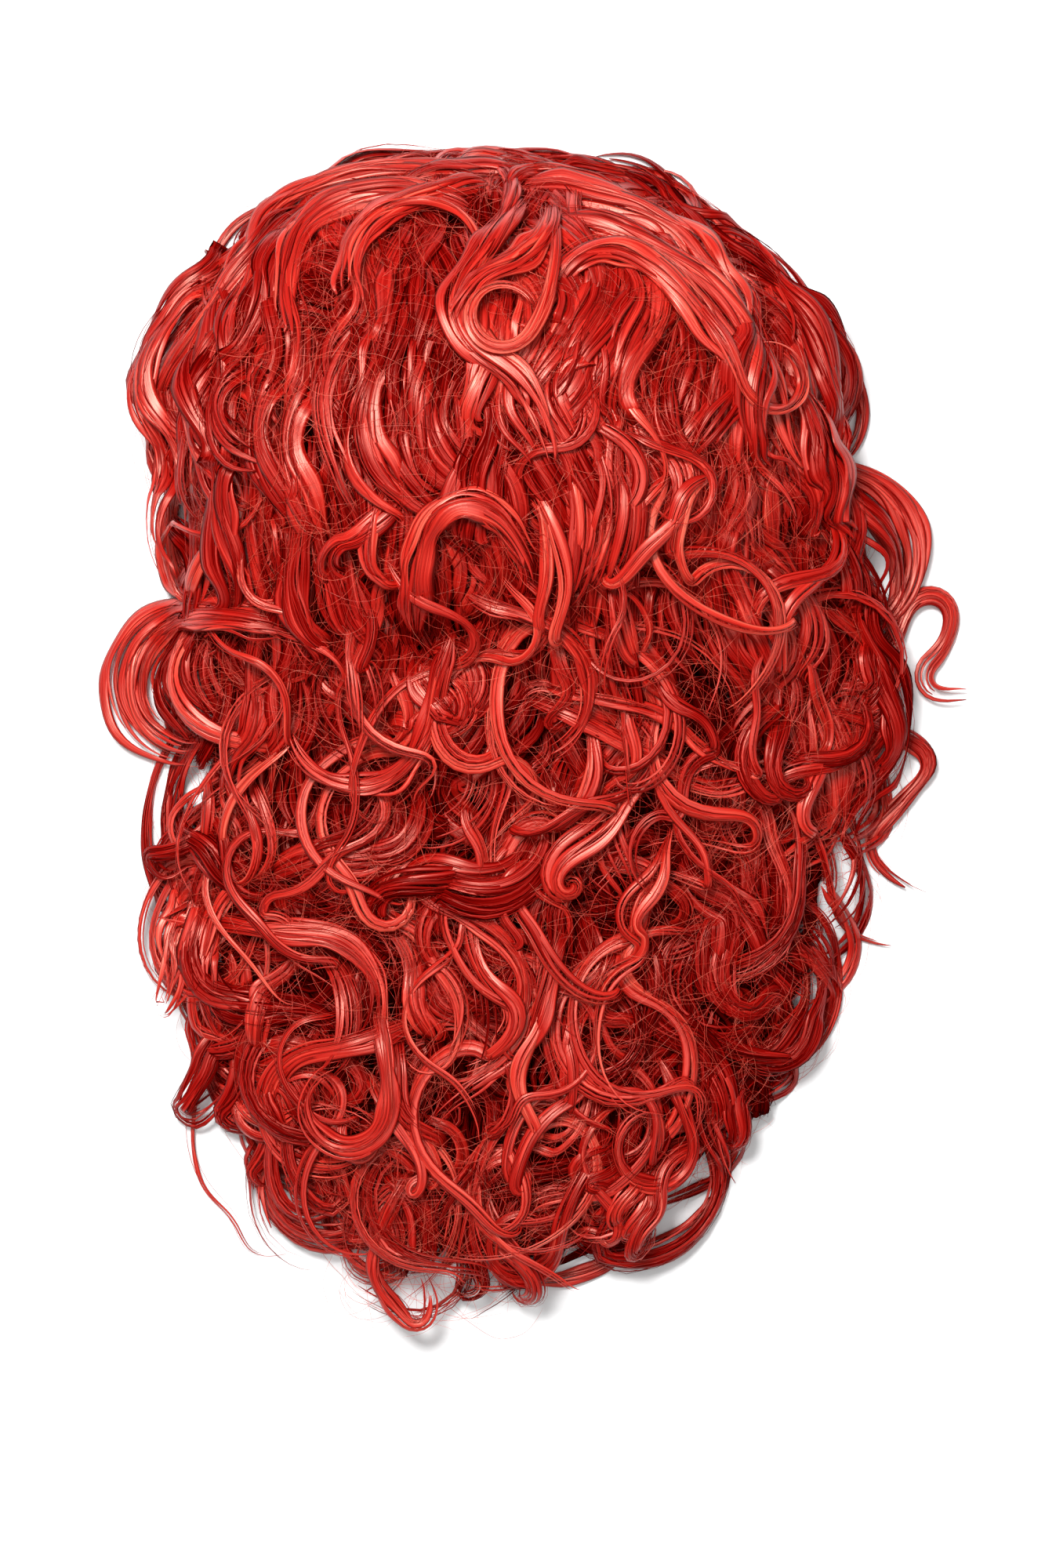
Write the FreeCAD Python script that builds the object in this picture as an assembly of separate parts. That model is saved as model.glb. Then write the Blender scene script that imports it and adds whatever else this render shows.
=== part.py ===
import FreeCAD, Part
import math
import os
from FreeCAD import Vector

# A long curly costume wig, lying on a table with its head opening down.
# Millimetres. +Z is up from the table, +Y points from the hair's ends to the front hairline,
# +X to the wearer's right, seen from behind. The origin is the middle of the footprint, at z = 0.
# An azimuth is measured about the cap's upright axis, from +X towards +Y, in degrees.
# A latitude goes up the cap's dome, from 0 at the rim to 90 at the crown, in degrees.

# ---- Driving dimensions -------------------------------------------------------------------

# The cap: a soft dome, slumped under its own weight
CAP_X, CAP_Y = -8.0, 138.0        # its upright axis
CAP_RADIUS = 90.0                 # rim of 565 mm round, an average adult head
CAP_HEIGHT = 62.0
BAND_THICKNESS = 1.2              # hemmed fabric, two layers
BAND_LATITUDE = 14.0              # the bands' upper edge
RIB_WIDTH, RIB_THICKNESS = 9.0, 0.8
NET_THICKNESS, NET_OFFSET = 0.4, 0.2
CROWN_LATITUDE = 60.0             # the crown patch's lower edge
FLAT_LATITUDE = 88.0              # the very top is a small flat disc
CROWN_THICKNESS = 0.8
LINING_GAP = 0.4                  # the lining hangs this far inside the crown patch
SEAM_GAP = 0.2                    # degrees or millimetres left between pieces at a seam

# The wefts: rows of machine-sewn hair tape on the outside of the cap
WEFT_OFFSET, WEFT_THICKNESS = 1.3, 1.2
WEFT_HEIGHT = 2.6                 # degrees of latitude
BACK_WEFT_LATITUDES = (6.0, 17.0, 28.0, 39.0, 50.0)
BACK_WEFT_START, BACK_WEFT_END = 205.0, 335.0
BACK_WEFT_STEP = 2.0              # each row up the back starts this much further in
SIDE_WEFT_LATITUDES, LEFT_WEFT_AZIMUTHS = (8.0, 24.0, 40.0), (128.0, 196.0)
FRONT_WEFT_LATITUDES, FRONT_WEFT_AZIMUTHS = (5.0, 20.0), (58.0, 122.0)

# The ear tabs: two layers of fabric round a bendable stay, folded flat on the table
TAB_LENGTH, TAB_WIDTH, TAB_THICKNESS = 26.0, 30.0, 2.2
TAB_CORNER = 9.0
TAB_FOLD_RADIUS = 87.2            # the fold line's distance from the cap's axis
TAB_FLOOR = 0.8                   # height of the tab's underside
STAY_LENGTH, STAY_WIDTH, STAY_THICKNESS = 19.0, 5.0, 0.8
STAY_PLAY = 0.1

# The nape adjusters: each strap slides round the nape in a sleeve and through loops
STRAP_RADIUS, STRAP_THICKNESS, STRAP_HEIGHT = 86.0, 0.8, 6.0
STRAP_FLOOR = 3.6
STRAP_AZIMUTHS = (219.5, 243.0)
SLEEVE_AZIMUTHS = (218.0, 237.0)
SLEEVE_WALL, SLEEVE_PLAY = 0.6, 0.35
HOOK_AZIMUTHS = (243.0, 247.5)
HOOK_THICKNESS = 1.6
HOOK_SLOT_WIDTH, HOOK_SLOT_MARGIN = 1.0, 1.2    # degrees, and millimetres of plate left round it
TONGUE_AZIMUTHS = (247.5, 252.5)
TONGUE_HEIGHT = 3.6
TAPE_AZIMUTHS = (248.5, 268.5)
TAPE_THICKNESS = 0.5
LOOP_COUNT, LOOP_PITCH = 5, 4.0   # degrees from loop to loop
LOOP_WIDTH, LOOP_WALL = 0.9, 0.5  # degrees, millimetres

LABEL_WIDTH, LABEL_LENGTH, LABEL_THICKNESS = 18.0, 12.0, 0.4
LABEL_FLOOR, LABEL_INSET = 0.6, 5.0

# The hair's outer shape: y, left edge, right edge and height of each cross-section
HAIR_SECTIONS = (
    (249.5, -56.0, -8.0, 8.0),
    (240.0, -84.0, 30.0, 26.0),
    (220.0, -124.0, 80.0, 50.0),
    (200.0, -140.0, 104.0, 65.0),
    (170.0, -157.0, 134.0, 78.0),
    (138.0, -166.0, 146.0, 83.0),
    (100.0, -160.0, 156.0, 80.0),
    (60.0, -166.0, 166.0, 67.0),
    (28.0, -177.0, 175.0, 53.0),
    (-5.0, -170.0, 176.0, 45.0),
    (-50.0, -168.0, 165.0, 38.0),
    (-100.0, -154.0, 138.0, 34.0),
    (-150.0, -134.0, 106.0, 31.0),
    (-190.0, -104.0, 72.0, 28.0),
    (-220.0, -84.0, 22.0, 22.0),
    (-249.5, -58.0, -34.0, 8.0),
)
SHOULDER = 0.7                    # below 1, the cross-section bulges outside an ellipse
SECTION_STEPS = 12                # points round the dome of a cross-section
HAIR_CLEARANCE = 3.2              # from the cap's inner face to the hair's mass
HAIR_GAP = 0.3                    # between two neighbouring masses of hair
CROWN_LEVEL = 46.0                # the crown's hair lies above this height
NAPE_Y = 40.0                     # where the lengths start
TIERS = ((NAPE_Y, NAPE_Y), (-55.0, -75.0), (-140.0, -156.0), (-260.0, -260.0))
TIER_TOP = 60.0                   # height at which a tier's second y is taken
COLUMNS = (-200.0, -60.0, 52.0, 200.0)
ENDS_SPLIT = -26.0
REACH = 400.0                     # further out than any of the hair
BELOW = -2.0                      # just under the table, so that cuts run clear


# ---- Helpers ------------------------------------------------------------------------------

def about_cap(shape, azimuth):
    """Turns a shape drawn about the Z axis to an azimuth and carries it to the cap's axis."""
    shape.rotate(Vector(0, 0, 0), Vector(0, 0, 1), azimuth)
    shape.translate(Vector(CAP_X, CAP_Y, 0))
    return shape


def on_dome(latitude, offset):
    """The point of the dome's meridian at a latitude, moved outward by offset."""
    angle = math.radians(latitude)
    return Vector((CAP_RADIUS + offset) * math.cos(angle), 0, (CAP_HEIGHT + offset) * math.sin(angle))


def meridian(offset, low, high):
    """The dome's meridian between two latitudes, as an arc of an ellipse."""
    ellipse = Part.Ellipse(on_dome(0, offset), on_dome(90, offset), Vector(0, 0, 0))
    return Part.ArcOfEllipse(ellipse, math.radians(low), math.radians(high)).toShape()


def turned(edges, first, last):
    """The solid that a closed outline in the XZ plane sweeps about the cap's axis."""
    face = Part.Face(Part.Wire(Part.__sortEdges__(edges)))
    solid = face.revolve(Vector(0, 0, 0), Vector(0, 0, 1), last - first)
    if solid.Volume < 0:
        solid.reverse()
    return about_cap(solid, first)


def cap_patch(low, high, first, last, offset, thickness):
    """A patch of the dome's skin between two latitudes and two azimuths."""
    outer = offset + thickness
    edges = [
        meridian(offset, low, high),
        Part.makeLine(on_dome(high, offset), on_dome(high, outer)),
        meridian(outer, low, high),
        Part.makeLine(on_dome(low, outer), on_dome(low, offset)),
    ]
    return turned(edges, first, last)


def on_axis(latitude, offset):
    """The point on the cap's axis level with a point of the dome."""
    return Vector(0, 0, on_dome(latitude, offset).z)


def cap_top(low, offset, thickness):
    """The round top of the dome's skin above a latitude."""
    outer, high = offset + thickness, FLAT_LATITUDE
    edges = [
        meridian(offset, low, high),
        Part.makeLine(on_dome(high, offset), on_axis(high, offset)),
        Part.makeLine(on_axis(high, offset), on_axis(high, outer)),
        Part.makeLine(on_axis(high, outer), on_dome(high, outer)),
        meridian(outer, low, high),
        Part.makeLine(on_dome(low, outer), on_dome(low, offset)),
    ]
    return turned(edges, 0, 360)


def ring_sector(inner, outer, bottom, top, first, last):
    """A piece of an upright ring about the cap's axis."""
    corners = [Vector(inner, 0, bottom), Vector(outer, 0, bottom), Vector(outer, 0, top), Vector(inner, 0, top)]
    return turned(Part.makePolygon(corners + corners[:1]).Edges, first, last)


def dome(offset):
    """The whole dome as one solid, grown by offset."""
    high = FLAT_LATITUDE
    edges = [
        meridian(offset, 0, high),
        Part.makeLine(on_dome(high, offset), on_axis(high, offset)),
        Part.makeLine(on_axis(high, offset), on_axis(0, offset)),
        Part.makeLine(on_axis(0, offset), on_dome(0, offset)),
    ]
    return turned(edges, 0, 360)


def block(low, high):
    """A box between two corners."""
    size = Vector(*high) - Vector(*low)
    return Part.makeBox(size.x, size.y, size.z, Vector(*low))


def prism(points, direction):
    """A flat outline pushed along a direction."""
    return Part.Face(Part.makePolygon(points + points[:1])).extrude(direction)


def rounded_tab(length, width, corner, bottom, thickness):
    """A flat tab along +X with its two far corners rounded, its root on the Y axis."""
    half, straight, cut = width / 2, length - corner, corner * (1 - math.sqrt(0.5))
    root_low, root_high = Vector(0, -half, bottom), Vector(0, half, bottom)
    side_low, side_high = Vector(straight, -half, bottom), Vector(straight, half, bottom)
    end_low, end_high = Vector(length, corner - half, bottom), Vector(length, half - corner, bottom)
    mid_low = Vector(length - cut, cut - half, bottom)
    mid_high = Vector(length - cut, half - cut, bottom)
    edges = [
        Part.makeLine(root_low, side_low),
        Part.Arc(side_low, mid_low, end_low).toShape(),
        Part.makeLine(end_low, end_high),
        Part.Arc(end_high, mid_high, side_high).toShape(),
        Part.makeLine(side_high, root_high),
        Part.makeLine(root_high, root_low),
    ]
    return Part.Face(Part.Wire(edges)).extrude(Vector(0, 0, thickness))


def mirrored(shape):
    """The same piece on the other side of the cap's middle plane."""
    return shape.mirror(Vector(CAP_X, 0, 0), Vector(1, 0, 0))


# ---- The cap ------------------------------------------------------------------------------

BAND_AZIMUTHS = {
    "front_band": (55.0, 125.0),
    "side_band_left": (125.0, 212.0),
    "nape_band": (212.0, 328.0),
    "side_band_right": (-32.0, 55.0),
}
RIB_AZIMUTHS = {
    "rib_back_centre": 270.0,
    "rib_back_left": 236.0,
    "rib_back_right": 304.0,
    "rib_side_left": 197.0,
    "rib_side_right": 343.0,
    "rib_front_left": 145.0,
    "rib_front_right": 35.0,
}
NET_AZIMUTHS = {
    "net_back_left": (236.0, 270.0),
    "net_back_right": (270.0, 304.0),
    "net_side_left": (197.0, 236.0),
    "net_side_right": (304.0, 343.0),
    "net_temple_left": (145.0, 197.0),
    "net_temple_right": (-17.0, 35.0),
    "net_front": (35.0, 145.0),
}


def make_bands():
    """The four hemmed bands that make the rim."""
    return {
        name: cap_patch(0, BAND_LATITUDE, first + SEAM_GAP, last - SEAM_GAP, 0, BAND_THICKNESS)
        for name, (first, last) in BAND_AZIMUTHS.items()
    }


def rib_slab(azimuth, width):
    """An upright slab out from the cap's axis, as wide as a rib."""
    slab = Part.makeBox(CAP_RADIUS * 1.2, width, CAP_HEIGHT * 1.2, Vector(0, -width / 2, 0))
    return about_cap(slab, azimuth)


def make_ribs():
    """Elastic ribs from the bands up to the crown patch, of one width all the way."""
    ribs = {}
    for name, azimuth in RIB_AZIMUTHS.items():
        skin = cap_patch(BAND_LATITUDE + SEAM_GAP, CROWN_LATITUDE - SEAM_GAP, azimuth - RIB_WIDTH,
                         azimuth + RIB_WIDTH, 0, RIB_THICKNESS)
        ribs[name] = skin.common(rib_slab(azimuth, RIB_WIDTH))
    return ribs


def make_nets():
    """Open net panels that fill the cap between the ribs."""
    nets = {}
    for name, (first, last) in NET_AZIMUTHS.items():
        net = cap_patch(BAND_LATITUDE + SEAM_GAP, CROWN_LATITUDE - SEAM_GAP, first, last,
                        NET_OFFSET, NET_THICKNESS)
        for azimuth in (first, last):
            net = net.cut(rib_slab(azimuth, RIB_WIDTH + 2 * SEAM_GAP))
        nets[name] = net
    return nets


def make_crown():
    """The crown patch that hair is knotted into, and the soft lining under it."""
    lining_offset = -LINING_GAP - NET_THICKNESS
    return {
        "crown_patch": cap_top(CROWN_LATITUDE, 0, CROWN_THICKNESS),
        "crown_lining": cap_top(CROWN_LATITUDE, lining_offset, NET_THICKNESS),
    }


def weft_row(latitude, first, last):
    """One row of weft tape."""
    return cap_patch(latitude, latitude + WEFT_HEIGHT, first, last, WEFT_OFFSET, WEFT_THICKNESS)


def make_wefts():
    """The rows at the back are nodes of their own; the short rows of each side are one group."""
    wefts = {}
    for row, latitude in enumerate(BACK_WEFT_LATITUDES, 1):
        start, end = BACK_WEFT_START + row * BACK_WEFT_STEP, BACK_WEFT_END - row * BACK_WEFT_STEP
        wefts[f"weft_back_{row}"] = weft_row(latitude, start, end)
    left = [weft_row(latitude, *LEFT_WEFT_AZIMUTHS) for latitude in SIDE_WEFT_LATITUDES]
    front = [weft_row(latitude, *FRONT_WEFT_AZIMUTHS) for latitude in FRONT_WEFT_LATITUDES]
    wefts["wefts_left"] = Part.makeCompound(left)
    wefts["wefts_right"] = Part.makeCompound([mirrored(row) for row in left])
    wefts["wefts_front"] = Part.makeCompound(front)
    return wefts


# ---- Ear tabs and nape adjusters ----------------------------------------------------------

def make_ear_tabs():
    """Each tab is folded inward at the rim, with a bendable stay sealed inside it."""
    stay_bottom = TAB_FLOOR + (TAB_THICKNESS - STAY_THICKNESS) / 2
    stay_start = (TAB_LENGTH - STAY_LENGTH) / 2
    stay = block((stay_start, -STAY_WIDTH / 2, stay_bottom),
                 (stay_start + STAY_LENGTH, STAY_WIDTH / 2, stay_bottom + STAY_THICKNESS))
    pocket = block((stay_start - STAY_PLAY, -STAY_WIDTH / 2 - STAY_PLAY, stay_bottom - STAY_PLAY),
                   (stay_start + STAY_LENGTH + STAY_PLAY, STAY_WIDTH / 2 + STAY_PLAY,
                    stay_bottom + STAY_THICKNESS + STAY_PLAY))
    tab = rounded_tab(TAB_LENGTH, TAB_WIDTH, TAB_CORNER, TAB_FLOOR, TAB_THICKNESS).cut(pocket)
    root = Vector(CAP_X - TAB_FOLD_RADIUS, CAP_Y, 0)
    pieces = {}
    for name, shape in (("ear_tab", tab), ("ear_stay", stay)):
        shape.translate(root)
        pieces[f"{name}_left"] = shape
        pieces[f"{name}_right"] = mirrored(shape)
    return pieces


def make_sleeve():
    """A flat fabric sleeve, open at both ends, that the strap slides in."""
    play, wall = SLEEVE_PLAY, SLEEVE_WALL
    inner, outer = STRAP_RADIUS - play, STRAP_RADIUS + STRAP_THICKNESS + play
    bottom, top = STRAP_FLOOR - play, STRAP_FLOOR + STRAP_HEIGHT + play
    first, last = SLEEVE_AZIMUTHS
    casing = ring_sector(inner - wall, outer + wall, bottom - wall, top + wall, first, last)
    return casing.cut(ring_sector(inner, outer, bottom, top, first - 1, last + 1))


def make_hook():
    """A flat plastic hook: a plate with a narrow slot, and a thin tongue for the loops."""
    middle = STRAP_RADIUS + STRAP_THICKNESS / 2
    height = STRAP_FLOOR + STRAP_HEIGHT / 2
    inner, outer = middle - HOOK_THICKNESS / 2, middle + HOOK_THICKNESS / 2
    plate = ring_sector(inner, outer, STRAP_FLOOR, STRAP_FLOOR + STRAP_HEIGHT, *HOOK_AZIMUTHS)
    slot_start = HOOK_AZIMUTHS[0] + HOOK_SLOT_WIDTH
    slot = ring_sector(inner - 1, outer + 1, STRAP_FLOOR + HOOK_SLOT_MARGIN,
                       STRAP_FLOOR + STRAP_HEIGHT - HOOK_SLOT_MARGIN, slot_start, slot_start + HOOK_SLOT_WIDTH)
    tongue = ring_sector(STRAP_RADIUS, STRAP_RADIUS + STRAP_THICKNESS, height - TONGUE_HEIGHT / 2,
                         height + TONGUE_HEIGHT / 2, *TONGUE_AZIMUTHS)
    return plate.cut(slot).fuse(tongue)


def make_loop_tape():
    """A tape on the inside of the nape band with a row of loops for the hook's tongue."""
    play = SLEEVE_PLAY
    low, high = STRAP_FLOOR - play, STRAP_FLOOR + STRAP_HEIGHT + play
    face = STRAP_RADIUS + STRAP_THICKNESS / 2 + HOOK_THICKNESS / 2 + play
    inside = face - HOOK_THICKNESS - 2 * play
    tape = ring_sector(face, face + TAPE_THICKNESS, low - 2 * LOOP_WALL, high + 2 * LOOP_WALL, *TAPE_AZIMUTHS)
    for number in range(LOOP_COUNT):
        first = TAPE_AZIMUTHS[0] + 1 + number * LOOP_PITCH
        last = first + LOOP_WIDTH
        loop = ring_sector(inside - LOOP_WALL, face, low - LOOP_WALL, high + LOOP_WALL, first, last)
        loop = loop.cut(ring_sector(inside, face, low, high, first - 1, last + 1))
        tape = tape.fuse(loop)
    return tape


def make_adjusters():
    """A sliding strap with its hook, a sleeve and a tape of loops, on each side of the nape."""
    strap = ring_sector(STRAP_RADIUS, STRAP_RADIUS + STRAP_THICKNESS, STRAP_FLOOR, STRAP_FLOOR + STRAP_HEIGHT,
                        *STRAP_AZIMUTHS)
    left = {
        "adjuster_strap": strap,
        "adjuster_hook": make_hook(),
        "strap_sleeve": make_sleeve(),
        "loop_tape": make_loop_tape(),
    }
    pieces = {f"{name}_left": shape for name, shape in left.items()}
    pieces.update({f"{name}_right": mirrored(shape) for name, shape in left.items()})
    return pieces


def make_label():
    """A blank care label that lies flat inside the nape."""
    edge = CAP_Y - CAP_RADIUS + LABEL_INSET
    low = (CAP_X - LABEL_WIDTH / 2, edge, LABEL_FLOOR)
    high = (CAP_X + LABEL_WIDTH / 2, edge + LABEL_LENGTH, LABEL_FLOOR + LABEL_THICKNESS)
    return {"care_label": block(low, high)}


# ---- The hair -----------------------------------------------------------------------------

def hair_section(y, left, right, height):
    """A closed cross-section of the hair, domed above. It runs on a little under the table."""
    middle, half = (left + right) / 2, (right - left) / 2
    points = [Vector(right, y, BELOW)]
    for step in range(1, SECTION_STEPS):
        angle = math.pi * step / SECTION_STEPS
        across, up = math.cos(angle), math.sin(angle)
        x = middle + half * math.copysign(abs(across) ** SHOULDER, across)
        points.append(Vector(x, y, height * up ** SHOULDER))
    points.append(Vector(left, y, BELOW))
    top = Part.BSplineCurve()
    top.interpolate(points)
    return Part.Wire([top.toShape(), Part.makeLine(points[-1], points[0])])


def hair_mass():
    """All the hair as one soft body, flat where it lies on the table, with room for the cap."""
    body = Part.makeLoft([hair_section(*section) for section in HAIR_SECTIONS], True, False)
    return body.common(block((-REACH, -REACH, 0), (REACH, REACH, REACH))).cut(dome(HAIR_CLEARANCE))


def wedge(first, last):
    """The space between two azimuths, drawn in by half a gap on each side."""
    half_angle = math.radians(last - first) / 2
    apex = HAIR_GAP / 2 / math.sin(half_angle)
    middle = math.radians((first + last) / 2)
    start = Vector(CAP_X + apex * math.cos(middle), CAP_Y + apex * math.sin(middle), BELOW)
    points = [start]
    for azimuth in (first, (first + last) / 2, last):
        angle = math.radians(azimuth)
        points.append(start + Vector(math.cos(angle), math.sin(angle), 0) * REACH)
    return prism(points, Vector(0, 0, REACH))


def tier_slab(upper, lower, left, right):
    """The lengths between two leaning seams and two columns."""
    half = HAIR_GAP / 2
    points = [
        Vector(left + half, upper[0] - half, BELOW),
        Vector(left + half, upper[1] - half, TIER_TOP),
        Vector(left + half, lower[1] + half, TIER_TOP),
        Vector(left + half, lower[0] + half, BELOW),
    ]
    return prism(points, Vector(right - left - HAIR_GAP, 0, 0))


HAIR_SECTORS = {
    "hair_temple_right": (0.0, 45.0),
    "hair_front_right": (45.0, 90.0),
    "hair_front_left": (90.0, 135.0),
    "hair_temple_left": (135.0, 180.0),
    "hair_side_left": (180.0, 225.0),
    "hair_back_left": (225.0, 270.0),
    "hair_back_right": (270.0, 315.0),
    "hair_side_right": (315.0, 360.0),
}


def make_hair():
    """The hair, parted into the masses that hang from the crown, the rim's rows and the nape."""
    mass = hair_mass()
    half = HAIR_GAP / 2
    low = mass.common(block((-REACH, -REACH, BELOW), (REACH, REACH, CROWN_LEVEL - half)))
    over_cap = low.common(block((-REACH, NAPE_Y + half, BELOW), (REACH, REACH, CROWN_LEVEL)))
    lengths = low.common(block((-REACH, -REACH, BELOW), (REACH, NAPE_Y - half, CROWN_LEVEL)))
    hair = {"hair_crown": mass.common(block((-REACH, -REACH, CROWN_LEVEL + half), (REACH, REACH, REACH)))}
    for name, (first, last) in HAIR_SECTORS.items():
        hair[name] = over_cap.common(wedge(first, last))
    sides = ("left", "centre", "right")
    for tier, upper, lower in zip(("upper", "middle"), TIERS, TIERS[1:]):
        for side, left, right in zip(sides, COLUMNS, COLUMNS[1:]):
            hair[f"hair_{tier}_{side}"] = lengths.common(tier_slab(upper, lower, left, right))
    hair["hair_ends_left"] = lengths.common(tier_slab(TIERS[2], TIERS[3], COLUMNS[0], ENDS_SPLIT))
    hair["hair_ends_right"] = lengths.common(tier_slab(TIERS[2], TIERS[3], ENDS_SPLIT, COLUMNS[3]))
    return hair


# ---- All the sub-parts --------------------------------------------------------------------

def main():
    os.makedirs("parts", exist_ok=True)
    parts = {}
    for make in (make_bands, make_ribs, make_nets, make_crown, make_wefts, make_ear_tabs, make_adjusters,
                 make_label, make_hair):
        parts.update(make())
    for name, shape in parts.items():
        shape.exportStep(f"parts/{name}.step")
        box = shape.BoundBox
        print(f"{name:20s} solids {len(shape.Solids)} valid {shape.isValid()} volume {shape.Volume:10.1f} "
              f"x {box.XMin:7.1f} {box.XMax:7.1f} y {box.YMin:7.1f} {box.YMax:7.1f} "
              f"z {box.ZMin:6.2f} {box.ZMax:6.2f}")


main()
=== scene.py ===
import math

import bpy
import numpy as np
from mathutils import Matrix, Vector


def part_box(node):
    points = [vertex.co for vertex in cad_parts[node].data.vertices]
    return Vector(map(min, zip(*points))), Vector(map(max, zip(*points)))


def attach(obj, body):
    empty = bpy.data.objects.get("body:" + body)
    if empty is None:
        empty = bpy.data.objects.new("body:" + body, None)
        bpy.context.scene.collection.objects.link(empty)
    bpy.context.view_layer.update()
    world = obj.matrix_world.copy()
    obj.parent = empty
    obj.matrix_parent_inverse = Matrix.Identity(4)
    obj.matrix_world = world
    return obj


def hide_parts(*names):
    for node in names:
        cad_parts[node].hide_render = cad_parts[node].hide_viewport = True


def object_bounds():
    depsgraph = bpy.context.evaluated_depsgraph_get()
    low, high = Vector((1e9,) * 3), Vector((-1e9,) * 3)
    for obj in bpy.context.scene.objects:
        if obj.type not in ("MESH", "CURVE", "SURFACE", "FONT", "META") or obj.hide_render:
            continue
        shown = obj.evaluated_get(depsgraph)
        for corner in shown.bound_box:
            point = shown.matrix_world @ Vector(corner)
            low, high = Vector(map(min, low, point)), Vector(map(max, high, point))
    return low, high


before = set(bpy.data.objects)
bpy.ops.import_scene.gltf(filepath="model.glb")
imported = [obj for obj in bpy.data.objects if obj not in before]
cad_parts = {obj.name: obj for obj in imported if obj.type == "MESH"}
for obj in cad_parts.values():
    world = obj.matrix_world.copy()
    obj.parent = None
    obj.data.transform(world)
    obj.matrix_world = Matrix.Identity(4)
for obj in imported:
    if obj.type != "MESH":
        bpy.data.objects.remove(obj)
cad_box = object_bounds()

# A long curly red wig lying on its head opening, seen from straight above. Metres.
# +Z is up, +Y points to the front hairline at the crown, +X to the wearer's right.

MM = 0.001
rng = np.random.default_rng(20)
between = rng.uniform

# ---- The cap and the main mass of hair, measured on the frame ----


def edges_of(name):
    """The two ends of each edge of a CAD node's mesh."""
    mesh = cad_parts[name].data
    points = np.empty(len(mesh.vertices) * 3)
    mesh.vertices.foreach_get("co", points)
    ends = np.empty(len(mesh.edges) * 2, int)
    mesh.edges.foreach_get("vertices", ends)
    return points.reshape(-1, 3)[ends.reshape(-1, 2)]


def box_of(names):
    """The lowest and highest corner of several CAD nodes together."""
    boxes = np.array([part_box(name) for name in names])
    return boxes[:, 0].min(0), boxes[:, 1].max(0)


def nodes_called(start):
    return [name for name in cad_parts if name.startswith(start)]


HAIR_NODES = nodes_called("hair_")
BAND_NODES = ["front_band", "nape_band", "side_band_left", "side_band_right"]
RIM = box_of(BAND_NODES)
CAP_CENTRE = (RIM[0][:2] + RIM[1][:2]) / 2
CAP_RADIUS = (RIM[1][1] - RIM[0][1]) / 2
CAP_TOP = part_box("crown_patch")[1][2]
HAIR_OFF_CAP = 2 * MM


def outline_at(ys):
    """Left edge, right edge and top of the CAD's hair at each y."""
    ends = np.concatenate([edges_of(name) for name in HAIR_NODES])
    rows = []
    for y in ys:
        cut = ends[(ends[:, :, 1].min(1) <= y) & (ends[:, :, 1].max(1) > y)]
        share = (y - cut[:, 0, 1]) / (cut[:, 1, 1] - cut[:, 0, 1])
        spots = cut[:, 0] + (cut[:, 1] - cut[:, 0]) * share[:, None]
        rows.append((spots[:, 0].min(), spots[:, 0].max(), spots[:, 2].max()))
    return np.array(rows).T


def inset(least, most, middle, reach, power):
    """How far inside the CAD's edge the main mass stops. It is most at the middle, where loose locks
    stand out past it."""
    away = np.abs((grid_y / MM - middle) / reach)
    return (least + (most - least) * np.exp(-away ** power)) * MM


def smoothed(row, reach):
    """A row of values, each blended with its neighbours up to reach places away."""
    kernel = np.hanning(2 * reach + 1)
    return np.convolve(np.pad(row, reach, mode="edge"), kernel / kernel.sum(), mode="valid")


SLICES = 400
SLICE_BLEND = 13
HAIR_ENDS = cad_box[0][1] + 15 * MM
HAIRLINE = cad_box[1][1] - 2 * MM
grid_y = np.linspace(HAIR_ENDS, HAIRLINE, SLICES)
LEFT, RIGHT, HEIGHT = (smoothed(row, SLICE_BLEND) for row in outline_at(grid_y))
LEFT = LEFT + inset(2, 21, 15, 75, 2)
RIGHT = RIGHT - inset(3, 29, 40, 140, 4)


def at_y(row, y):
    return np.interp(y, grid_y, row)


def width_at(y):
    """The middle and half the width of the main mass."""
    left, right = at_y(LEFT, y), at_y(RIGHT, y)
    return (left + right) / 2, (right - left) / 2


def hair_top(x, y):
    """Height of the hair's upper surface."""
    middle, half = width_at(y)
    across = np.clip(np.abs(x - middle) / half, 0, 1)
    return at_y(HEIGHT, y) * np.sqrt(np.clip(1 - across ** 2.6, 0, 1))


def hair_floor(x, y):
    """Height of what the lowest hair lies on: the cap's dome, or the table."""
    square = ((x - CAP_CENTRE[0]) ** 2 + (y - CAP_CENTRE[1]) ** 2) / (CAP_RADIUS + HAIR_OFF_CAP) ** 2
    return (CAP_TOP + HAIR_OFF_CAP) * np.sqrt(np.clip(1 - square, 0, 1))


# ---- Strands and bands ----

TINY = 1e-12


def normalised(v):
    return v / np.maximum(np.linalg.norm(v, axis=-1, keepdims=True), TINY)


WANDER_SIZE = 1.4


def wander(count, samples, waves, rough=0.6):
    """count smooth random lines of about unit size, from three sines each."""
    t = np.linspace(0, 1, samples)
    total = np.zeros((count, samples))
    for k in range(1, 4):
        frequency = waves * k * between(0.7, 1.3, (count, 1))
        phase = between(0, 2 * math.pi, (count, 1))
        total += rough ** (k - 1) * np.sin(2 * math.pi * frequency * t + phase)
    return total / WANDER_SIZE


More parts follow.
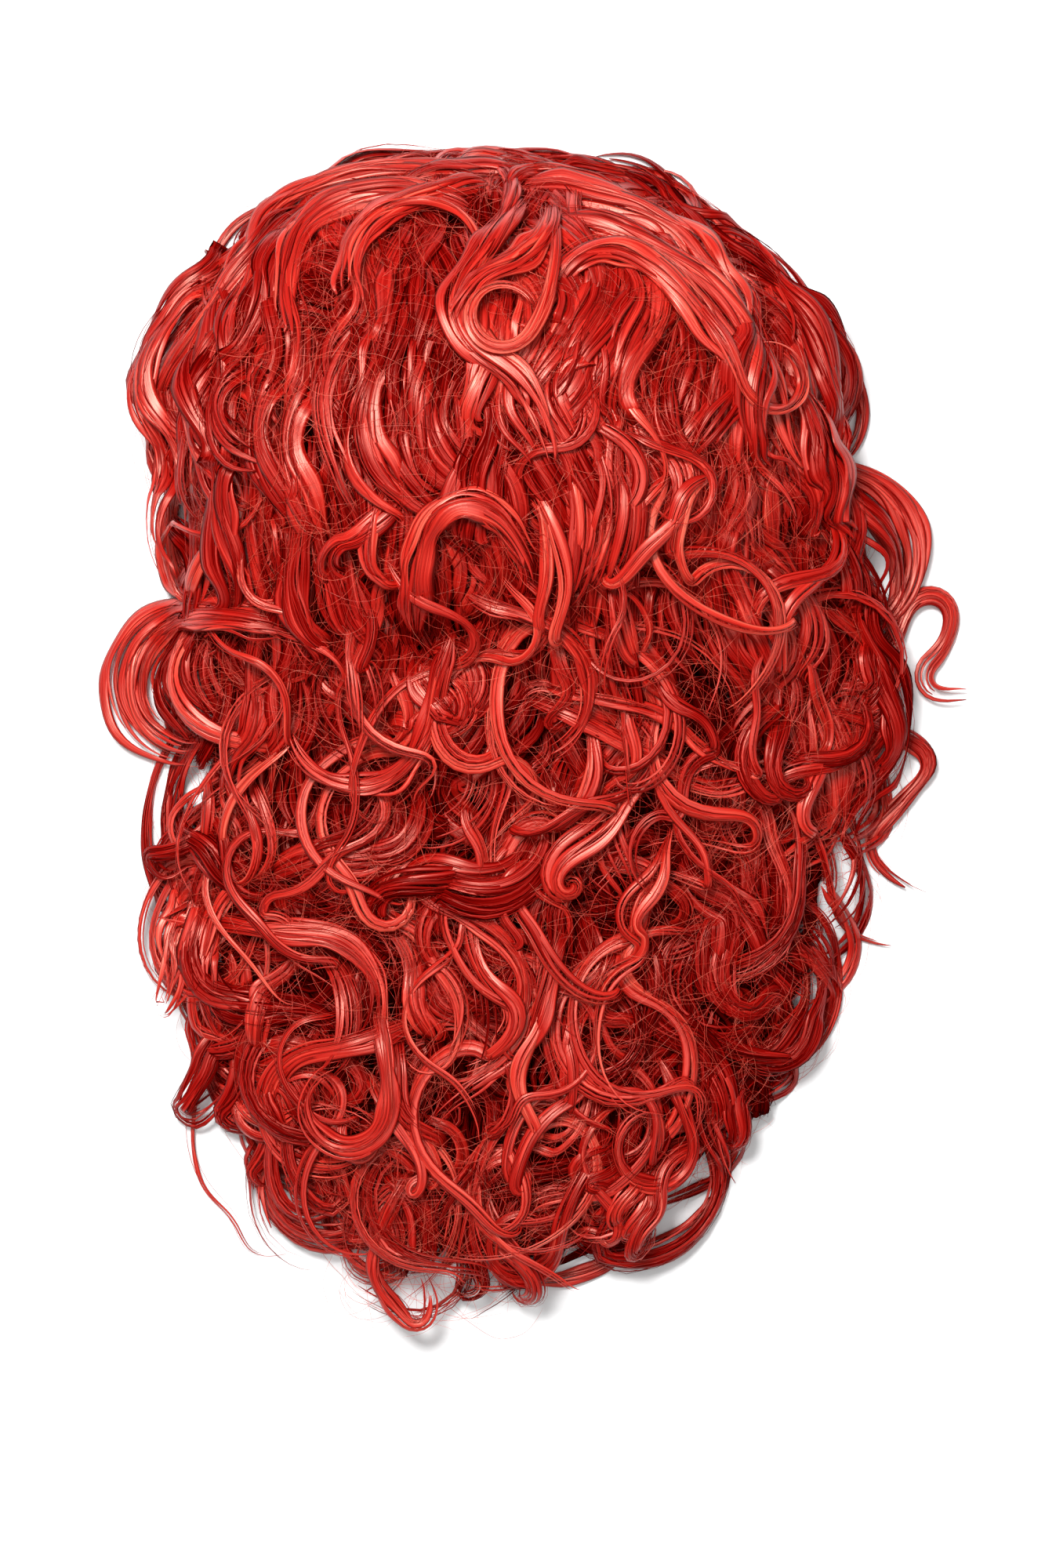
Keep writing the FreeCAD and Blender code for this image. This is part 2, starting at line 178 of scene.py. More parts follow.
def resample(points, samples):
    """Points evenly spaced along a smooth curve through the given ones."""
    points = np.asarray(points, float)
    padded = np.vstack([2 * points[0] - points[1], points, 2 * points[-1] - points[-2]])
    fine = []
    for a, b, c, d in zip(padded, padded[1:], padded[2:], padded[3:]):
        t = np.linspace(0, 1, 24, endpoint=False)[:, None]
        fine.append(0.5 * (2 * b + (c - a) * t + (2 * a - 5 * b + 4 * c - d) * t ** 2
                           + (3 * b - a - 3 * c + d) * t ** 3))
    fine = np.vstack(fine + [points[-1:]])
    length = np.concatenate([[0], np.cumsum(np.linalg.norm(np.diff(fine, axis=0), axis=1))])
    want = np.linspace(0, length[-1], samples)
    return np.column_stack([np.interp(want, length, fine[:, k]) for k in range(3)]), length[-1]


def tube_frames(paths):
    """Two normals along each path that don't twist about it. paths is strands x samples x 3."""
    tangent = normalised(np.gradient(paths, axis=1))
    start = np.cross(tangent[:, 0], (0.31, 0.2, 0.93))
    first = np.empty_like(paths)
    first[:, 0] = normalised(start)
    for k in range(1, paths.shape[1]):
        carried = first[:, k - 1]
        carried = carried - tangent[:, k] * (carried * tangent[:, k]).sum(-1, keepdims=True)
        first[:, k] = normalised(carried)
    return first, np.cross(tangent, first)


class Heap:
    """Collects strands and bands of hair, and makes one mesh of them."""

    def __init__(self):
        self.points, self.faces, self.caps, self.tone, self.strips = [], [], [], [], []
        self.used = 0
        self.triangles = 0

    def add(self, rings, tone):
        """rings is strands x samples x sides x 3. tone spreads over the first three. Ends are closed."""
        strands, samples, sides = rings.shape[:3]
        base = self.used + np.arange(strands)[:, None, None] * samples * sides
        step = np.arange(samples - 1)[None, :, None] * sides
        side = np.arange(sides)[None, None, :]
        after = (side + 1) % sides
        quads = np.stack([base + step + side, base + step + after, base + step + sides + after,
                          base + step + sides + side], -1)
        self.points.append(rings.reshape(-1, 3))
        self.faces.append(quads.reshape(-1, 4))
        self.tone.append(np.broadcast_to(tone, (strands, samples, sides)).reshape(-1))
        first = self.used + np.arange(strands)[:, None] * samples * sides
        self.caps.append(first + np.arange(sides)[::-1])
        self.caps.append(first + (samples - 1) * sides + np.arange(sides))
        self.strips.append(self.measure(rings))
        self.used += strands * samples * sides
        self.triangles += strands * ((samples - 1) * sides * 2 + 2 * (sides - 2))

    @staticmethod
    def measure(rings):
        """How far round each strand its sides are, and how far along it its rings are, in mm."""
        edges = np.linalg.norm(np.roll(rings, -1, 2) - rings, axis=-1).mean(1)
        around = np.concatenate([np.zeros((len(edges), 1)), np.cumsum(edges, 1)], 1) / MM
        middle = rings.mean(2)
        steps = np.linalg.norm(np.diff(middle, axis=1), axis=-1)
        along = np.concatenate([np.zeros((len(steps), 1)), np.cumsum(steps, 1)], 1) / MM
        return tuple(row + between(0, 400, (len(edges), 1)) for row in (around, along))

    def mesh(self, name, material):
        points = np.concatenate(self.points)
        quads = np.concatenate(self.faces)
        cap_loops = np.concatenate([cap.reshape(-1) for cap in self.caps])
        cap_sizes = np.concatenate([np.full(len(cap), cap.shape[1]) for cap in self.caps])
        loops = np.concatenate([quads.reshape(-1), cap_loops]).astype(np.int32)
        sizes = np.concatenate([np.full(len(quads), 4), cap_sizes])
        starts = np.concatenate([[0], np.cumsum(sizes)[:-1]]).astype(np.int32)
        mesh = bpy.data.meshes.new(name)
        mesh.vertices.add(len(points))
        mesh.vertices.foreach_set("co", points.astype(np.float32).ravel())
        mesh.loops.add(len(loops))
        mesh.loops.foreach_set("vertex_index", loops)
        mesh.polygons.add(len(sizes))
        mesh.polygons.foreach_set("loop_start", starts)
        mesh.polygons.foreach_set("use_smooth", np.ones(len(sizes), bool))
        mesh.update(calc_edges=True)
        # The tone attribute holds each strand's colour value, and on the locks painted shade as well.
        tone = mesh.attributes.new("tone", "FLOAT", "POINT")
        tone.data.foreach_set("value", np.concatenate(self.tone).astype(np.float32))
        self.write_maps(mesh, len(cap_loops))
        mesh.materials.append(material)
        return put_in_scene(name, mesh)

    def write_maps(self, mesh, cap_count):
        """Two maps: flow, in mm round and along each strand, and OFBake, an upright strip for each
        strand."""
        total = sum(around.size for around, along in self.strips)
        done, flow, strips = 0, [], []
        for around, along in self.strips:
            strands, edges = around.shape
            samples = along.shape[1]
            place = (done + np.arange(strands)[:, None] * edges + 0.5 + np.arange(edges)[None]) / total
            share = np.broadcast_to(np.arange(samples)[None] / (samples - 1), along.shape)
            flow.append(corner_values(around, along))
            strips.append(corner_values(place, share))
            done += around.size
        ends = np.full((cap_count, 2), 0.5) + between(-1e-3, 1e-3, (cap_count, 2))
        for name, values in (("OFBake", strips), ("flow", flow)):
            layer = mesh.uv_layers.new(name=name)
            layer.data.foreach_set("uv", np.concatenate(values + [ends]).astype(np.float32).ravel())


def put_in_scene(name, data):
    thing = bpy.data.objects.new(name, data)
    bpy.context.scene.collection.objects.link(thing)
    return thing


def corner_values(round_it, along_it):
    """The map's values at the four corners of each quad of a set of strands."""
    u0, v0 = np.broadcast_arrays(round_it[:, None, :-1], along_it[:, :-1, None])
    u1, v1 = np.broadcast_arrays(round_it[:, None, 1:], along_it[:, 1:, None])
    corners = [np.stack(pair, -1) for pair in ((u0, v0), (u1, v0), (u1, v1), (u0, v1))]
    return np.stack(corners, -2).reshape(-1, 2)


def add_tubes(heap, paths, radius, tone, sides=3, tip=0.3):
    """Round strands along paths, thinner towards the tip."""
    first, second = tube_frames(paths)
    samples = paths.shape[1]
    t = np.linspace(0, 1, samples)
    thick = np.minimum(1, tip + t * 8) * (tip + (1 - tip) * np.sqrt(np.clip((1 - t) / 0.3, 0, 1)))
    radii = np.broadcast_to(np.asarray(radius).reshape(-1, 1), (len(paths), 1)) * thick
    rings = []
    for side in range(sides):
        angle = 2 * math.pi * side / sides
        rings.append(paths + radii[..., None] * (math.cos(angle) * first + math.sin(angle) * second))
    heap.add(np.stack(rings, 2), tone[..., None])


def on_table(points, clearance):
    """Keeps points off the table and out of the cap."""
    points[..., 2] = np.maximum(points[..., 2], hair_floor(points[..., 0], points[..., 1]) + clearance)
    return points


def rings_on_table(rings, clearance):
    """Lifts each ring of a band that would dip into the table or the cap, as a whole."""
    ground = hair_floor(rings[..., 0], rings[..., 1]) + clearance
    rings[..., 2] += np.maximum((ground - rings[..., 2]).max(-1, keepdims=True), 0)
    return rings


def at_index(row, index):
    """Values of a row of points at fractional places along it."""
    before = np.floor(index).astype(int).clip(0, len(row) - 2)
    mix = (index - before)[..., None]
    return row[before] * (1 - mix) + row[before + 1] * mix


# The section of a flat tress: places across it and up from it, then how much darker it is painted there,
# as painted shade on its sides and underside.
LENS = ((-1.0, 0.0), (-0.5, 0.85), (0.5, 0.85), (1.0, 0.0), (0.45, -0.55), (-0.45, -0.55))
LENS_PAINTED_SHADE = np.array([0.02, 0, 0, 0.02, 0.1, 0.1])
TRESS_FLATNESS = 0.15
THICKEST_TRESS = 0.55 * MM
LOOSE_STRAND = 0.14 * MM
TABLE_GAP = 0.3 * MM


def add_lock(guide, face, width, depth, tone, tresses=5, loose=3, swell=1.0, fray=1.0, painted_shade=None):
    """A lock of hair round a guide, made of flat tresses side by side, with loose strands over them.
    face is the direction, at each point, that the lock's broad side looks to. The last argument paints
    shade along its length, and without one only its root is painted darker, as painted shade under the
    rest."""
    samples = len(guide)
    heap = heap_near(guide[samples // 2])
    t = np.linspace(0, 1, samples)
    tangent = normalised(np.gradient(guide, axis=0))
    face = normalised(face - tangent * (face * tangent).sum(-1, keepdims=True))
    across = np.cross(tangent, face)
    place = (np.arange(tresses) - (tresses - 1) / 2) / max((tresses - 1) / 2, 0.5)
    place = (place + between(-0.4, 0.4, tresses) / max(tresses - 1, 1))[:, None]
    index = t[None] * (1 - 0.22 * between(0, 1, (tresses, 1)) ** 1.5) * (samples - 1)
    spine, side, out = (at_index(row, index) for row in (guide, across, face))
    rise = np.clip(t / 0.12, 0.05, 1) ** 0.7
    fall = np.clip((1 - t) / 0.35, 0, 1) ** 0.75
    wide = width * (0.45 + 0.55 * rise) * swell * (0.55 + 0.45 * fall)
    w = (place + 0.22 * wander(tresses, samples, 1.3)) * wide / 2 * (1 + 0.5 * fray * t ** 3)
    r = depth * (0.8 * np.sqrt(np.clip(1 - place ** 2, 0, 1)) + 0.16 * wander(tresses, samples, 1.2))
    roll = -place * 0.42 + 0.2 * wander(tresses, samples, 0.9)
    own_face = np.cos(roll)[..., None] * out - np.sin(roll)[..., None] * side
    own_side = np.cos(roll)[..., None] * side + np.sin(roll)[..., None] * out
    share = between(0.5, 1, (tresses, 1)) ** 2
    own_wide = width * 2.2 * share / share.sum() * rise * (0.1 + 0.9 * fall)
    own_wide = own_wide * (1 + 0.2 * wander(tresses, samples, 2)) * (0.6 + 0.4 * swell)
    own_deep = np.minimum(own_wide * TRESS_FLATNESS, THICKEST_TRESS)
    centre = spine + side * w[..., None] + out * r[..., None]
    half_wide, half_deep = own_side * own_wide[..., None] / 2, own_face * own_deep[..., None] / 2
    rings = np.stack([centre + half_wide * a + half_deep * b for a, b in LENS], 2)
    # Painted shade: the lock is darkened along its length as given, and by default only at the root,
    # where it goes in under the rest.
    painted_shade = 0.75 + 0.25 * rise if painted_shade is None else painted_shade
    own_tone = tone + between(-0.1, 0.1, (tresses, 1)) + 0.05 * wander(tresses, samples, 2)
    # Each tress section also gets painted shade on its sides and underside.
    heap.add(rings_on_table(rings, TABLE_GAP), (own_tone * painted_shade)[..., None] - LENS_PAINTED_SHADE)
    if loose:
        add_loose(heap, guide, across, face, width, depth, tone, loose + round(width / MM * 0.35))


def add_loose(heap, guide, across, face, width, depth, tone, count):
    """Single strands that have come a little away from a lock."""
    samples = len(guide)
    t = np.linspace(0, 1, samples)
    place = between(-1.08, 1.08, (count, 1)).clip(-1, 1)
    stray = between(0, 1, (count, 1)) ** 2
    w = place * (1 + 0.3 * stray) * width / 2 + wander(count, samples, 0.8) * (0.2 + 1.8 * stray) * MM
    lift = (0.4 + np.abs(wander(count, samples, 0.8)) * (0.2 + 1.8 * stray)) * MM
    r = depth * np.sqrt(np.clip(1 - place ** 2, 0, 1)) + lift
    index = t[None] * between(0.8, 1.0, (count, 1)) * (samples - 1)
    spine, side, out = (at_index(row, index) for row in (guide, across, face))
    paths = on_table(spine + side * w[..., None] + out * r[..., None], TABLE_GAP)[:, ::2]
    radius = LOOSE_STRAND * between(0.6, 1.3, count)
    add_tubes(heap, paths, radius, tone + between(-0.2, 0.1, (count, 1)) + np.zeros(paths.shape[:2]))


def curl(axis, length, radius, pitch, tilt, phase, hand, flat=0.6):
    """A helix about an axis: radius, pitch and tilt are start and end values. tilt 0 is a corkscrew
    along the axis, tilt 1 is rings that lie flat. Returns the guide, the way that its broad face looks,
    and how much of its width shows there."""
    samples = len(axis)
    t = np.linspace(0, 1, samples)
    tangent = normalised(np.gradient(axis, axis=0))
    sideways = normalised(np.cross(tangent, (0, 0, 1.0)))
    upward = np.cross(sideways, tangent)
    ease = t * t * (3 - 2 * t)
    rad = radius[0] + (radius[1] - radius[0]) * ease
    pit = pitch[0] + (pitch[1] - pitch[0]) * ease
    lean = (tilt[0] + (tilt[1] - tilt[0]) * ease) * math.pi / 2
    turn = phase + hand * 2 * math.pi * np.cumsum(length / samples / pit)
    turn = turn + 0.35 * wander(1, samples, 0.9)[0]
    second = upward * np.cos(lean)[:, None] + tangent * np.sin(lean)[:, None]
    spoke = np.cos(turn)[:, None] * sideways + np.sin(turn)[:, None] * second
    pressed = spoke.copy()
    pressed[:, 2] *= flat
    face = spoke * 0.45 + upward * (0.62 + 0.3 * np.sin(lean))[:, None]
    swell = 0.68 + 0.42 * np.sin(turn) ** 2 * np.cos(lean * 0.6)
    return axis + rad[:, None] * pressed, face, swell


LOOK_AHEAD = 2 * MM
NARROWEST = 12 * MM
STOP_BEFORE_ENDS = 8 * MM


def flow_axis(u, y, length, layer, swing, samples=56):
    """A path down the hair from (u, y), where u is -1 at the left edge and 1 at the right. layer is 0
    on the floor and 1 on top, and low paths keep further in from the edges."""
    step = length / samples
    reach = 0.96 if layer > 0.65 else 0.8
    turn = wander(1, samples, 1.1)[0] * swing
    points = []
    for k in range(samples):
        middle, half = width_at(y)
        x = middle + u * half
        top = hair_top(x, y)
        floor = min(hair_floor(x, y), top)
        points.append((x, y, floor + (top - floor) * layer))
        next_middle, next_half = width_at(max(y - LOOK_AHEAD, HAIR_ENDS))
        sideways = next_middle - middle + u * (next_half - half)
        heading = math.atan2(-LOOK_AHEAD, sideways) + turn[k]
        y = float(np.clip(y + math.sin(heading) * step, HAIR_ENDS + 3 * MM, HAIRLINE - 2 * MM))
        x += math.cos(heading) * step
        middle, half = width_at(y)
        u = float(np.clip((x - middle) / max(half, NARROWEST), -reach, reach))
        if y < HAIR_ENDS + STOP_BEFORE_ENDS and k > samples // 4:
            break
    return np.array(points)


# ---- Materials ----

def new_material(name):
    material = bpy.data.materials.new(name)
    material.use_nodes = True
    nodes = material.node_tree.nodes
    return material, nodes, material.node_tree.links, nodes["Principled BSDF"]


def colour_by(nodes, links, value, colours, shader):
    """Colours the surface by a value from 0 to 1."""
    node = nodes.new("ShaderNodeValToRGB")
    ramp = node.color_ramp
    while len(ramp.elements) < len(colours):
        ramp.elements.new(0.5)
    for element, (position, colour) in zip(ramp.elements, colours):
        element.position, element.color = position, (*colour, 1)
    links.new(value, node.inputs["Fac"])
    links.new(node.outputs["Color"], shader.inputs["Base Color"])


def add_bump(nodes, links, height, strength, depth, shader):
    bump = nodes.new("ShaderNodeBump")
    bump.inputs["Strength"].default_value = strength
    bump.inputs["Distance"].default_value = depth * MM
    links.new(height, bump.inputs["Height"])
    links.new(bump.outputs["Normal"], shader.inputs["Normal"])


def stretched_noise(nodes, links, source, across, along, detail):
    """Noise that is fine across a strand and long along it."""
    mapping = nodes.new("ShaderNodeMapping")
    mapping.inputs["Scale"].default_value = (across, along, 1)
    noise = nodes.new("ShaderNodeTexNoise")
    noise.noise_dimensions = "2D"
    noise.inputs["Scale"].default_value = 1
    noise.inputs["Detail"].default_value = detail
    links.new(source, mapping.inputs["Vector"])
    links.new(mapping.outputs["Vector"], noise.inputs["Vector"])
    return noise.outputs["Fac"]


def sum_of(nodes, links, first, second, weight):
    """first + (second - 0.5) * weight, as a node value."""
    scaled = nodes.new("ShaderNodeMath")
    scaled.operation = "MULTIPLY_ADD"
    scaled.inputs[1].default_value, scaled.inputs[2].default_value = weight, -weight / 2
    total = nodes.new("ShaderNodeMath")
    links.new(second, scaled.inputs[0])
    links.new(first, total.inputs[0])
    links.new(scaled.outputs[0], total.inputs[1])
    return total.outputs[0]


GROOVE_DEPTH = 0.12
SHINE_SLOPE, SHINE_START = 3.2, -1.05


def hair_material(name, colours, roughness):
    """Dyed glossy fibre: each strand has its tone, which on the locks also holds painted shade at roots,
    tress undersides and lower layers, and fine streaks and grooves run along it. The brighter it is, the
    more it shines."""
    material, nodes, links, shader = new_material(name)
    tone = nodes.new("ShaderNodeAttribute")
    tone.attribute_name = "tone"
    flow = nodes.new("ShaderNodeUVMap")
    flow.uv_map = "flow"
    fine = stretched_noise(nodes, links, flow.outputs["UV"], 3.2, 0.03, 2)
    broad = stretched_noise(nodes, links, flow.outputs["UV"], 1.1, 0.02, 1)
    value = sum_of(nodes, links, tone.outputs["Fac"], fine, 0.5)
    value = sum_of(nodes, links, value, broad, 0.6)
    colour_by(nodes, links, value, colours, shader)
    add_bump(nodes, links, sum_of(nodes, links, fine, broad, 1.0), 0.8, GROOVE_DEPTH, shader)
    shader.inputs["Roughness"].default_value = roughness
    shine = nodes.new("ShaderNodeMath")
    shine.operation, shine.use_clamp = "MULTIPLY_ADD", True
    shine.inputs[1].default_value, shine.inputs[2].default_value = SHINE_SLOPE, SHINE_START
    links.new(value, shine.inputs[0])
    links.new(shine.outputs[0], shader.inputs["Specular IOR Level"])
    shader.inputs["Specular Tint"].default_value = (1.0, 0.60, 0.48, 1)
    shader.inputs["Anisotropic"].default_value = 0.6
    tangent = nodes.new("ShaderNodeTangent")
    tangent.direction_type, tangent.uv_map = "UV_MAP", "flow"
    links.new(tangent.outputs["Tangent"], shader.inputs["Tangent"])
    return material


RED = ((0.0, (0.03, 0.0003, 0.0003)), (0.25, (0.11, 0.0008, 0.0006)), (0.5, (0.37, 0.0035, 0.002)),
       (0.75, (0.62, 0.017, 0.009)), (1.0, (0.88, 0.14, 0.085)))
HAIR = hair_material("hair_fibre", RED, 0.34)

# ---- The locks ----

ROOMS = {name: np.mean(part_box(name), axis=0) for name in HAIR_NODES}
HEAPS = {name: [Heap()] for name in ROOMS}
MOST_TRIANGLES = 185000


def heap_near(point):
    """The heap of the part of the hair that a point is in, or a new one once that is full."""
    name = min(ROOMS, key=lambda room: np.linalg.norm((ROOMS[room] - point)[:2]))
    if HEAPS[name][-1].triangles > MOST_TRIANGLES:
        HEAPS[name].append(Heap())
    return HEAPS[name][-1]


ROOT_TUCK = 7 * MM


def tucked(samples):
    """1 at a lock's root and 0 past the first fifth of it, so that roots go in under the rest."""
    return np.clip(1 - np.linspace(0, 5, samples), 0, 1) ** 1.5


def grow(u, y, length, layer, width, radius, pitch, tilt, tone, members=3, swing=0.4, samples=44,
         tresses=5, loose=3, flat=0.6):
    """A family of locks that start side by side, curl alike and part towards their ends."""
    axis, _ = resample(flow_axis(float(u), float(y) * MM, length * MM, layer, swing), samples)
    t = np.linspace(0, 1, samples)[:, None]
    tangent = normalised(np.gradient(axis, axis=0))
    sideways = normalised(np.cross(tangent, (0, 0, 1.0)))
    phase, hand = between(0, 2 * math.pi), rng.choice([-1, 1])
    for member in range(members):
        place = member - (members - 1) / 2
        aside = place * width * (0.75 + 0.5 * t) * MM + wander(1, samples, 0.8).T * 1.5 * MM
        keep = max(8, int(samples * between(0.75, 1.0)))
        own_axis, own_size = resample((axis + sideways * aside)[:keep], samples)
        own_axis[:, 2] += between(-2, 2.5) * MM - ROOT_TUCK * tucked(samples)
        guide, face, swell = curl(own_axis, own_size, [r * between(0.85, 1.15) * MM for r in radius],
                                  [p * between(0.93, 1.07) * MM for p in pitch], tilt,
                                  phase + between(-0.35, 0.35), hand, flat)
        guide = on_table(guide, 1.2 * MM)
        wide = width * between(0.75, 1.25)
        # Painted shade: the lower a lock lies in the hair, the darker its tone; the small random shift is
        # the lock's own.
        own_tone = tone * (0.1 + 0.9 * min(layer, 1)) + between(-0.08, 0.08)
        add_lock(guide, face, wide * MM, min(wide * 0.16, 1.6) * MM, own_tone,
                 max(2, round(tresses * wide / width)), loose, swell)


def spread(count, low, high):
    """Evenly spaced values with some scatter."""
    return np.linspace(low, high, count) + between(-0.5, 0.5, count) * (high - low) / count


def make_under_layer():
    """Dark hair close to the cap and the table: its low tone is painted shade in the gaps under the
    locks.
    """
    for y0 in (222, 205, 180, 155, 125, 95, 65, 35, 5, -25, -55, -85, -115, -145, -175):
        reach = 0.68 if y0 > 160 or y0 < -70 else 0.84
        for u0 in spread(10, -reach, reach):
            grow(u0, y0 + between(-12, 12), between(70, 110), between(0.35, 0.6), 13,
                 (5, 9), (80, 55), (0.1, 0.4), 0.3, members=1, tresses=6, loose=0, samples=26)


def make_upper_waves():
    """Long waves from the crown, out to the sides and down."""
    rows = ((230, 9, .8), (221, 12, .9), (207, 12, .95), (190, 11, .95), (162, 11, .95), (132, 11, .9),
            (100, 11, .9), (68, 11, .85))
    for y0, count, layer in rows:
        reach = 0.8 if y0 > 215 else 0.95
        for u0 in spread(count, -reach, reach):
            grow(u0, y0 + between(-10, 6), between(110, 180), layer + between(-0.3, 0.05),
                 between(8, 14), (3, between(6, 10)), (95, between(62, 85)),
                 (0.0, between(0.1, 0.4)), between(0.42, 0.7), members=rng.integers(2, 4),
                 swing=0.3)


def make_lower_curls():
    """Tighter, flatter curls of finer tresses down to the ends."""
    rows = ((42, 10, .9), (12, 11, .9), (-18, 11, .9), (-48, 11, .9), (-80, 10, .9), (-112, 9, .9),
            (-142, 8, .9), (-170, 6, .9))
    for y0, count, layer in rows:
        for u0 in spread(count, -0.93, 0.93):
            tight = between(0, 1) ** 1.5
            grow(u0, y0 + between(-12, 12), between(80, 150), layer + between(-0.45, 0.1),
                 between(5, 11), (9, 21 - 9 * tight), (85, 72 - 30 * tight),
                 (0.2, between(0.4, 1.0)), between(0.40, 0.68), members=rng.integers(1, 4),
                 swing=1.0, tresses=7, loose=5, samples=48)


def make_long_tresses():
    """Thin loose tresses in wide arcs over the rest."""
    for y0 in spread(60, 150, -160):
        tight = between(0, 1)
        grow(between(-0.9, 0.9), y0, between(110, 200), between(1.02, 1.12),
             between(1.8, 4.5), (7, 12 + 12 * tight), (95, between(62, 95)),
             (0.2, between(0.3, 1.0)), between(0.55, 0.75), members=rng.integers(1, 3),
             swing=0.9, tresses=3, loose=1, samples=56, flat=0.35)


def edge_of_hair(azimuth):
    """How far the main mass reaches from the middle of the cap, this way."""
    far = np.linspace(60, 130, 141) * MM
    x, y = CAP_CENTRE[0] + far * math.cos(azimuth), CAP_CENTRE[1] + far * math.sin(azimuth)
    inside = (x > at_y(LEFT, y)) & (x < at_y(RIGHT, y)) & (y < HAIRLINE)
    return far[np.flatnonzero(inside)[-1]]


def make_hairline():
    """Short locks that roll over the front edge, down to the table."""
    for reach, tone in ((0.92, 0.3), (0.97, 0.42), (1.02, 0.52)):
        for turn in spread(24, 28, 158):
            hand = rng.choice([-1, 1])
            sway = np.radians(turn + hand * between(0.5, 1.3) * np.array([0, 2, 8, 17, 27, 36]))
            far = edge_of_hair(math.radians(turn)) * reach * np.array([0.66, 0.82, 0.95, 1.0, 0.98, 0.93])
            x, y = CAP_CENTRE[0] + far * np.cos(sway), CAP_CENTRE[1] + far * np.sin(sway)
            y = np.minimum(y, HAIRLINE)
            z = np.maximum(hair_top(x, y), 2 * MM) * np.array([0.85, 0.95, 0.8, 0.5, 0.3, 0.2])
            guide, _ = resample(np.column_stack([x, y, z]), 30)
            face = np.tile((0.7 * math.cos(math.radians(turn)), 0.7, 1), (30, 1))
            width = between(6, 11) * MM
            add_lock(on_table(guide, 1.5 * MM), face, width, 1.2 * MM, tone + between(-0.07, 0.07),
                     tresses=4, loose=2)


def make_edge_strands():
    """Thin tresses that leave the hair at its sides, arch out and come back lower down."""
    for side in (-1, 1):
        for y0 in spread(16, 226, -165):
            reach = between(18, 34)
            bow = between(0.5, 7)
            edge = LEFT if side < 0 else RIGHT
            for strand in range(rng.integers(1, 4)):
                y = (y0 - np.array([-0.9, -0.35, 0.1, 0.6, 1.1]) * reach) * MM
                y = np.clip(y, grid_y[2], grid_y[-2])
                inwards = np.array([16, 2 - bow * 0.3, -bow, -bow * 0.6, 15]) + 2.2 * strand
                x = at_y(edge, y) - side * inwards * MM + between(-2, 2, 5) * MM
                z = np.maximum(hair_top(x, y) * 0.8, 0) + np.array([4, 4, 2.5, 2, 2]) * MM
                guide, _ = resample(np.column_stack([x, y, z]), 26)
                face = np.tile((0.4 * side, 0, 1), (26, 1))
                add_lock(on_table(guide, 1 * MM), face, between(1.2, 3.2) * MM, 0.4 * MM,
                         between(0.42, 0.62), tresses=2, loose=1)


def kept_near(xs, ys, margin):
    """Only the strands that stay within a margin of the hair's outline and of the part's box."""
    out = np.maximum(at_y(LEFT, ys) - xs, xs - at_y(RIGHT, ys)).max(1)
    (low_x, low_y, _), (high_x, high_y, _) = cad_box
    over = 6 * MM
    inside = (out < margin) & (xs.min(1) > low_x - over) & (xs.max(1) < high_x + over)
    inside &= (ys.min(1) > low_y - over) & (ys.max(1) < high_y + over)
    return xs[inside], ys[inside]


def make_flyaways(count):
    """Fine single hairs that arch over the rest."""
    samples = 22
    length = between(30, 110, (count, 1)) * MM
    y = between(-0.235, 0.24, (count, 1))
    u = between(-1, 1, (count, 1))
    at_edge = between(0, 1, (count, 1)) < 0.25
    u = np.where(at_edge, np.sign(u) * between(0.92, 1.05, (count, 1)), u)
    middle, half = width_at(y)
    bend = rng.normal(0, 1, (count, 1)) / (22 * MM)
    t = np.linspace(0, 1, samples)
    heading = between(0, 2 * math.pi, (count, 1)) + bend * length * t
    heading = heading + 0.35 * wander(count, samples, 0.8)
    xs = middle + u * half + np.cumsum(np.cos(heading), 1) * length / samples
    ys = y + np.cumsum(np.sin(heading), 1) * length / samples
    xs, ys = kept_near(xs, ys, 14 * MM)
    count = len(xs)
    lift = (1.5 + 2.5 * np.abs(wander(count, samples, 0.7))) * MM
    paths = on_table(np.stack([xs, ys, hair_top(xs, ys) + lift], -1), 0.4 * MM)
    for path in paths:
        add_tubes(heap_near(path[samples // 2]), path[None], between(0.05, 0.09) * MM,
                  between(0.6, 0.95) + np.zeros((1, samples)))


